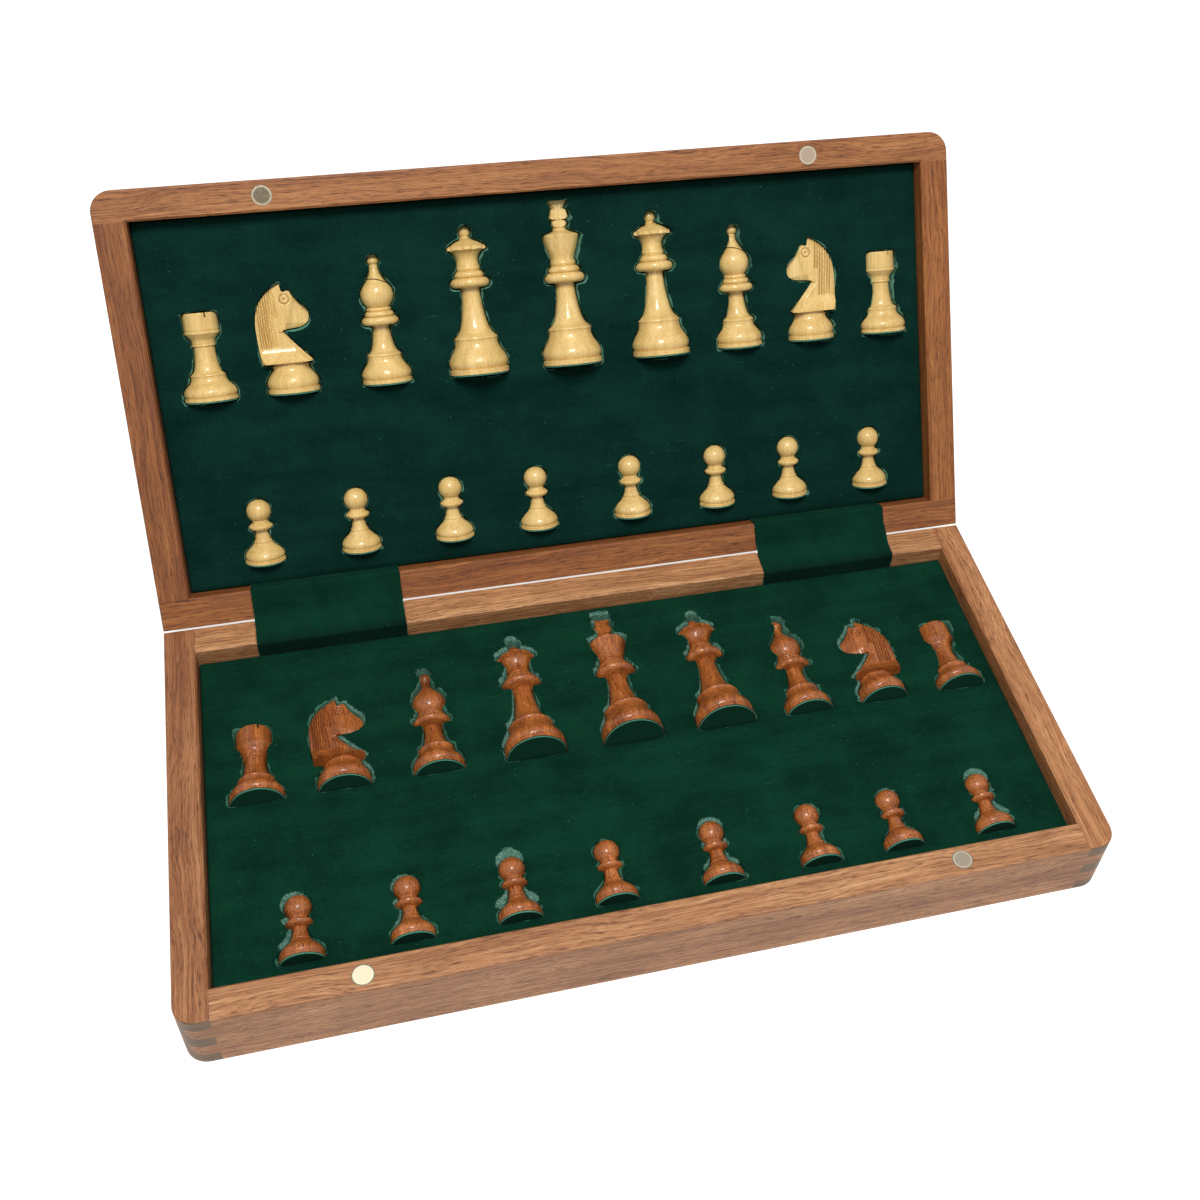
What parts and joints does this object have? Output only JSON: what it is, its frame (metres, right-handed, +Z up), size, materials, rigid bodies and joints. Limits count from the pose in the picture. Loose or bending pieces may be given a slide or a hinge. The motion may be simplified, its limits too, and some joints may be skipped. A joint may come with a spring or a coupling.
{
  "type": "folding chess box",
  "caption": "Folding wooden chess box, hinged lid standing open: two trays with velvet inserts that hold a full chess set, and a playing board inlaid outside",
  "frame": {"origin": "centre of the base's flat underside", "axes": "X along the hinge, Y from the front to the hinge, Z up"},
  "size_m": [0.355, 0.2984, 0.1797],
  "materials": {
    "rosewood": "satin lacquer over open-pored rosewood",
    "board_veneer": "satin lacquered veneer",
    "light_inlay": "satin lacquered maple",
    "dark_inlay": "satin lacquered walnut",
    "velvet": "short-pile green velvet",
    "magnet": "nickel-plated disc",
    "hinge_brass": "pressed brass",
    "screw_brass": "turned brass",
    "dark_men": "polished lacquer over red-brown rosewood",
    "light_men": "polished lacquer over pale boxwood"
  },
  "bodies": {
    "base": {"base_front_rail": "rosewood", "base_rear_rail": "rosewood", "base_left_rail": "rosewood", "base_right_rail": "rosewood", "base_panel": "board_veneer", "base_light_squares": "light_inlay", "base_dark_squares": "dark_inlay", "base_insert": "velvet", "base_magnets": "magnet", "base_hinge_leaves": "hinge_brass", "base_hinge_screws": "screw_brass", "hinge_pins": "screw_brass", "left_strap": "velvet", "right_strap": "velvet"},
    "lid": {"lid_front_rail": "rosewood", "lid_rear_rail": "rosewood", "lid_left_rail": "rosewood", "lid_right_rail": "rosewood", "lid_panel": "board_veneer", "lid_light_squares": "light_inlay", "lid_dark_squares": "dark_inlay", "lid_insert": "velvet", "lid_magnets": "magnet", "lid_hinge_leaves": "hinge_brass", "lid_hinge_screws": "screw_brass"},
    "dark_rook_left": {"dark_rook_left": "dark_men"},
    "dark_knight_left": {"dark_knight_left": "dark_men"},
    "dark_bishop_left": {"dark_bishop_left": "dark_men"},
    "dark_queen_left": {"dark_queen_left": "dark_men"},
    "dark_king": {"dark_king": "dark_men"},
    "dark_queen_right": {"dark_queen_right": "dark_men"},
    "dark_bishop_right": {"dark_bishop_right": "dark_men"},
    "dark_knight_right": {"dark_knight_right": "dark_men"},
    "dark_rook_right": {"dark_rook_right": "dark_men"},
    "dark_pawn_1": {"dark_pawn_1": "dark_men"},
    "dark_pawn_2": {"dark_pawn_2": "dark_men"},
    "dark_pawn_3": {"dark_pawn_3": "dark_men"},
    "dark_pawn_4": {"dark_pawn_4": "dark_men"},
    "dark_pawn_5": {"dark_pawn_5": "dark_men"},
    "dark_pawn_6": {"dark_pawn_6": "dark_men"},
    "dark_pawn_7": {"dark_pawn_7": "dark_men"},
    "dark_pawn_8": {"dark_pawn_8": "dark_men"},
    "light_rook_left": {"light_rook_left": "light_men"},
    "light_knight_left": {"light_knight_left": "light_men"},
    "light_bishop_left": {"light_bishop_left": "light_men"},
    "light_queen_left": {"light_queen_left": "light_men"},
    "light_king": {"light_king": "light_men"},
    "light_queen_right": {"light_queen_right": "light_men"},
    "light_bishop_right": {"light_bishop_right": "light_men"},
    "light_knight_right": {"light_knight_right": "light_men"},
    "light_rook_right": {"light_rook_right": "light_men"},
    "light_pawn_1": {"light_pawn_1": "light_men"},
    "light_pawn_2": {"light_pawn_2": "light_men"},
    "light_pawn_3": {"light_pawn_3": "light_men"},
    "light_pawn_4": {"light_pawn_4": "light_men"},
    "light_pawn_5": {"light_pawn_5": "light_men"},
    "light_pawn_6": {"light_pawn_6": "light_men"},
    "light_pawn_7": {"light_pawn_7": "light_men"},
    "light_pawn_8": {"light_pawn_8": "light_men"}
  },
  "joints": [
    {"name": "lid_hinge", "type": "hinge", "parent": "base", "child": "lid", "pos_m": [0, 0.08905, 0.0302], "axis": [-1, 0, 0], "range_deg": [-122.5, 57.5], "deforming": ["left_strap", "right_strap"]},
    {"name": "lift_dark_rook_left", "type": "slide", "parent": "base", "child": "dark_rook_left", "axis": [0, 0, 1], "range_m": [0, 0.05]},
    {"name": "lift_dark_knight_left", "type": "slide", "parent": "base", "child": "dark_knight_left", "axis": [0, 0, 1], "range_m": [0, 0.05]},
    {"name": "lift_dark_bishop_left", "type": "slide", "parent": "base", "child": "dark_bishop_left", "axis": [0, 0, 1], "range_m": [0, 0.05]},
    {"name": "lift_dark_queen_left", "type": "slide", "parent": "base", "child": "dark_queen_left", "axis": [0, 0, 1], "range_m": [0, 0.05]},
    {"name": "lift_dark_king", "type": "slide", "parent": "base", "child": "dark_king", "axis": [0, 0, 1], "range_m": [0, 0.05]},
    {"name": "lift_dark_queen_right", "type": "slide", "parent": "base", "child": "dark_queen_right", "axis": [0, 0, 1], "range_m": [0, 0.05]},
    {"name": "lift_dark_bishop_right", "type": "slide", "parent": "base", "child": "dark_bishop_right", "axis": [0, 0, 1], "range_m": [0, 0.05]},
    {"name": "lift_dark_knight_right", "type": "slide", "parent": "base", "child": "dark_knight_right", "axis": [0, 0, 1], "range_m": [0, 0.05]},
    {"name": "lift_dark_rook_right", "type": "slide", "parent": "base", "child": "dark_rook_right", "axis": [0, 0, 1], "range_m": [0, 0.05]},
    {"name": "lift_dark_pawn_1", "type": "slide", "parent": "base", "child": "dark_pawn_1", "axis": [0, 0, 1], "range_m": [0, 0.05]},
    {"name": "lift_dark_pawn_2", "type": "slide", "parent": "base", "child": "dark_pawn_2", "axis": [0, 0, 1], "range_m": [0, 0.05]},
    {"name": "lift_dark_pawn_3", "type": "slide", "parent": "base", "child": "dark_pawn_3", "axis": [0, 0, 1], "range_m": [0, 0.05]},
    {"name": "lift_dark_pawn_4", "type": "slide", "parent": "base", "child": "dark_pawn_4", "axis": [0, 0, 1], "range_m": [0, 0.05]},
    {"name": "lift_dark_pawn_5", "type": "slide", "parent": "base", "child": "dark_pawn_5", "axis": [0, 0, 1], "range_m": [0, 0.05]},
    {"name": "lift_dark_pawn_6", "type": "slide", "parent": "base", "child": "dark_pawn_6", "axis": [0, 0, 1], "range_m": [0, 0.05]},
    {"name": "lift_dark_pawn_7", "type": "slide", "parent": "base", "child": "dark_pawn_7", "axis": [0, 0, 1], "range_m": [0, 0.05]},
    {"name": "lift_dark_pawn_8", "type": "slide", "parent": "base", "child": "dark_pawn_8", "axis": [0, 0, 1], "range_m": [0, 0.05]},
    {"name": "lift_light_rook_left", "type": "slide", "parent": "lid", "child": "light_rook_left", "axis": [0, -0.8434, 0.5373], "range_m": [0, 0.05]},
    {"name": "lift_light_knight_left", "type": "slide", "parent": "lid", "child": "light_knight_left", "axis": [0, -0.8434, 0.5373], "range_m": [0, 0.05]},
    {"name": "lift_light_bishop_left", "type": "slide", "parent": "lid", "child": "light_bishop_left", "axis": [0, -0.8434, 0.5373], "range_m": [0, 0.05]},
    {"name": "lift_light_queen_left", "type": "slide", "parent": "lid", "child": "light_queen_left", "axis": [0, -0.8434, 0.5373], "range_m": [0, 0.05]},
    {"name": "lift_light_king", "type": "slide", "parent": "lid", "child": "light_king", "axis": [0, -0.8434, 0.5373], "range_m": [0, 0.05]},
    {"name": "lift_light_queen_right", "type": "slide", "parent": "lid", "child": "light_queen_right", "axis": [0, -0.8434, 0.5373], "range_m": [0, 0.05]},
    {"name": "lift_light_bishop_right", "type": "slide", "parent": "lid", "child": "light_bishop_right", "axis": [0, -0.8434, 0.5373], "range_m": [0, 0.05]},
    {"name": "lift_light_knight_right", "type": "slide", "parent": "lid", "child": "light_knight_right", "axis": [0, -0.8434, 0.5373], "range_m": [0, 0.05]},
    {"name": "lift_light_rook_right", "type": "slide", "parent": "lid", "child": "light_rook_right", "axis": [0, -0.8434, 0.5373], "range_m": [0, 0.05]},
    {"name": "lift_light_pawn_1", "type": "slide", "parent": "lid", "child": "light_pawn_1", "axis": [0, -0.8434, 0.5373], "range_m": [0, 0.05]},
    {"name": "lift_light_pawn_2", "type": "slide", "parent": "lid", "child": "light_pawn_2", "axis": [0, -0.8434, 0.5373], "range_m": [0, 0.05]},
    {"name": "lift_light_pawn_3", "type": "slide", "parent": "lid", "child": "light_pawn_3", "axis": [0, -0.8434, 0.5373], "range_m": [0, 0.05]},
    {"name": "lift_light_pawn_4", "type": "slide", "parent": "lid", "child": "light_pawn_4", "axis": [0, -0.8434, 0.5373], "range_m": [0, 0.05]},
    {"name": "lift_light_pawn_5", "type": "slide", "parent": "lid", "child": "light_pawn_5", "axis": [0, -0.8434, 0.5373], "range_m": [0, 0.05]},
    {"name": "lift_light_pawn_6", "type": "slide", "parent": "lid", "child": "light_pawn_6", "axis": [0, -0.8434, 0.5373], "range_m": [0, 0.05]},
    {"name": "lift_light_pawn_7", "type": "slide", "parent": "lid", "child": "light_pawn_7", "axis": [0, -0.8434, 0.5373], "range_m": [0, 0.05]},
    {"name": "lift_light_pawn_8", "type": "slide", "parent": "lid", "child": "light_pawn_8", "axis": [0, -0.8434, 0.5373], "range_m": [0, 0.05]}
  ]
}
